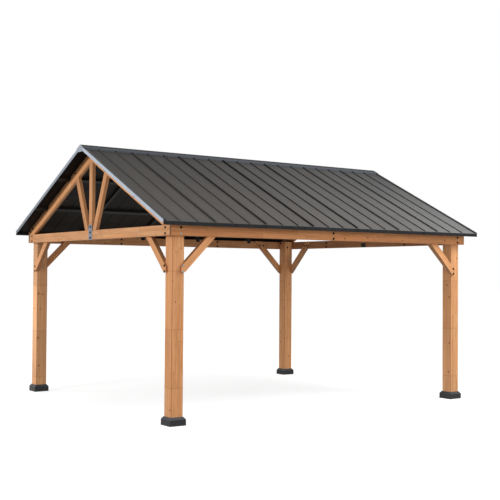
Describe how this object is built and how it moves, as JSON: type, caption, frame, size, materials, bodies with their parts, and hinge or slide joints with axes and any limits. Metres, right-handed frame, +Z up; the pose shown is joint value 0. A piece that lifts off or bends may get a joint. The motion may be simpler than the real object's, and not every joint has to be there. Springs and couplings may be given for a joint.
{
  "type": "garden gazebo",
  "caption": "Open rectangular timber gazebo with square posts, half-lapped knee braces, fanned gable trusses and a standing-seam steel gable roof",
  "frame": {"origin": "on the floor, at the middle of the four posts, which is the bottom centre of the bounding box", "axes": "+X along the ridge, +Y from the front eave to the back eave, +Z up"},
  "size_m": [4.768, 4.018, 3.161],
  "materials": {
    "cedar": "stained cedar tone, semi-transparent, satin",
    "base_plastic": "moulded charcoal plastic",
    "black_steel": "black powder coat",
    "bracket_steel": "grey coated steel",
    "roof_steel": "matt charcoal coated sheet steel",
    "ridge_steel": "coated sheet steel",
    "fascia_steel": "charcoal coated sheet steel",
    "rake_steel": "light grey coated sheet steel",
    "tie_steel": "grey coated steel"
  },
  "bodies": {
    "root": {"back_beam_inner": "cedar", "back_beam_outer": "cedar", "back_fascia": "fascia_steel", "back_roof_panels": "roof_steel", "eave_brackets": "bracket_steel", "front_beam_inner": "cedar", "front_beam_outer": "cedar", "front_fascia": "fascia_steel", "front_roof_panels": "roof_steel", "knee_braces_back_left": "cedar", "knee_braces_back_right": "cedar", "knee_braces_front_left": "cedar", "knee_braces_front_right": "cedar", "left_beam_inner": "cedar", "left_beam_outer": "cedar", "left_face_rafters": "cedar", "left_king_post": "cedar", "left_main_rafters": "cedar", "left_rake_trims": "rake_steel", "left_struts": "cedar", "left_tie_plates": "tie_steel", "post_back_left": "cedar", "post_back_right": "cedar", "post_cover_back_left": "base_plastic", "post_cover_back_right": "base_plastic", "post_cover_front_left": "base_plastic", "post_cover_front_right": "base_plastic", "post_front_left": "cedar", "post_front_right": "cedar", "purlins": "black_steel", "ridge_beam": "black_steel", "ridge_cap": "ridge_steel", "ridge_end_plates": "rake_steel", "right_beam_inner": "cedar", "right_beam_outer": "cedar", "right_face_rafters": "cedar", "right_king_post": "cedar", "right_main_rafters": "cedar", "right_rake_trims": "rake_steel", "right_struts": "cedar", "right_tie_plates": "tie_steel", "steel_rafters": "black_steel"}
  },
  "joints": []
}
